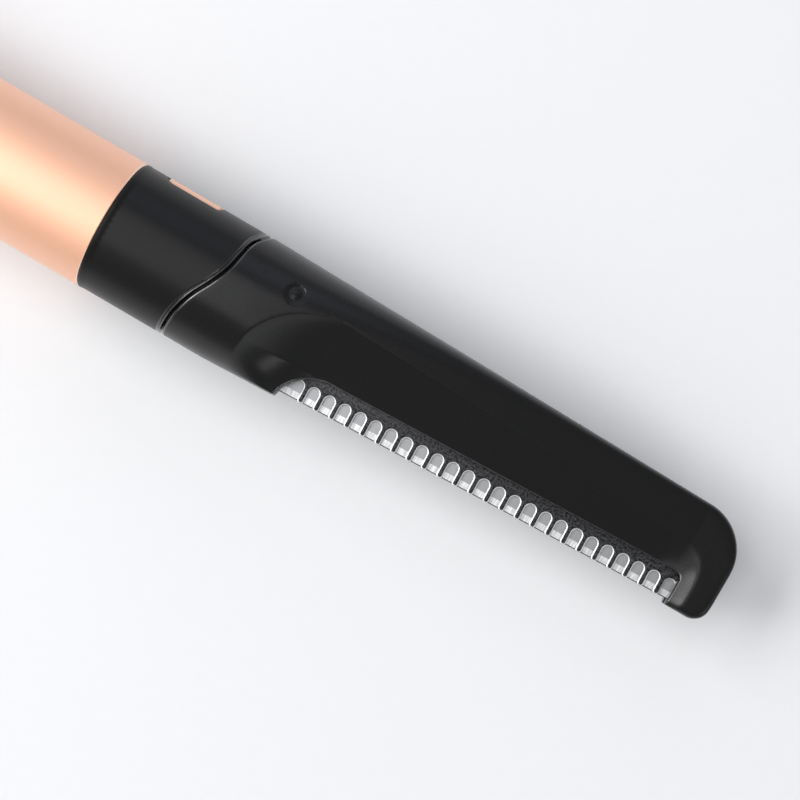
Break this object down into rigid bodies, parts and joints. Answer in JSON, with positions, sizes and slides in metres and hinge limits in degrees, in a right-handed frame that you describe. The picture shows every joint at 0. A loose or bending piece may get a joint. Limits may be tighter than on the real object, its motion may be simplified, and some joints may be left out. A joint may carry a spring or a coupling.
{
  "type": "eyebrow razor",
  "caption": "Slim battery eyebrow razor: round barrel, collar with a push button, and a pull-off hooked blade head with a guarded straight blade.",
  "frame": {"origin": "middle of the razor's box in plan, at the surface that it lies on", "axes": "+X along the razor to the blade head's tip, +Y to the spine and the button, +Z away from the surface"},
  "size_m": [0.1424, 0.014, 0.014],
  "materials": {
    "rose_gold_tube": "satin, anodised",
    "rose_gold_button": "satin, plated",
    "black_abs": "fine matt, moulded",
    "black_abs_head": "fine matt, moulded",
    "ground_steel": "ground",
    "guard_dark": "dark coated, fine grain",
    "black_rubber": "smooth",
    "contact_metal": "nickel plated strip",
    "spring_steel": "plated wire",
    "cell_sleeve": "shrink sleeve, bare",
    "nickel": "nickel plated",
    "white_abs": "moulded",
    "board_green": "solder mask",
    "part_black": "moulded",
    "magnet_grey": "sintered",
    "coil_copper": "enamelled wire",
    "bush_brass": "turned",
    "weight_metal": "sintered tungsten alloy",
    "lead_red": "insulated wire"
  },
  "bodies": {
    "handle": {"barrel": "rose_gold_tube", "collar": "black_abs", "cell_tray": "white_abs", "positive_contact": "contact_metal", "ground_strip": "contact_metal", "circuit_board": "board_green", "board_parts": "part_black", "board_screws": "nickel", "tact_switch": "part_black", "motor_cradle": "white_abs", "motor_can": "nickel", "motor_end": "white_abs", "motor_magnet": "magnet_grey", "motor_bush": "bush_brass", "motor_leads": "lead_red", "neck_seal": "black_rubber"},
    "button": {"power_button": "rose_gold_button", "switch_plunger": "white_abs"},
    "rotor": {"motor_coil": "coil_copper", "motor_shaft": "ground_steel", "eccentric_weight": "weight_metal"},
    "blade_head": {"head_front_shell": "black_abs_head", "head_back_shell": "black_abs_head", "blade": "ground_steel", "blade_guard": "guard_dark", "blade_pins": "ground_steel"},
    "cap": {"tail_cap": "rose_gold_tube", "tail_seal": "black_rubber", "tail_contact": "contact_metal", "tail_spring": "spring_steel"},
    "cell": {"cell_can": "cell_sleeve", "cell_nub": "nickel"}
  },
  "joints": [
    {"name": "button_press", "type": "slide", "parent": "handle", "child": "button", "axis": [0, -1, 0], "range_m": [0, 0.0005], "stiffness_N_per_m": 2000, "springref_m": -0.0003},
    {"name": "motor_spin", "type": "hinge", "parent": "handle", "child": "rotor", "pos_m": [0.00975, -0.0006, 0.007], "axis": [1, 0, 0], "continuous": true},
    {"name": "head_pull", "type": "slide", "parent": "handle", "child": "blade_head", "axis": [1, 0, 0], "range_m": [0, 0.014]},
    {"name": "cap_pull", "type": "slide", "parent": "handle", "child": "cap", "axis": [-1, 0, 0], "range_m": [0, 0.06]},
    {"name": "cell_slide", "type": "slide", "parent": "handle", "child": "cell", "axis": [-1, 0, 0], "range_m": [0, 0.046]}
  ],
  "couplings": [
    {"joint": "cell_slide", "follows": "cap_pull", "ratio": 0.76}
  ]
}
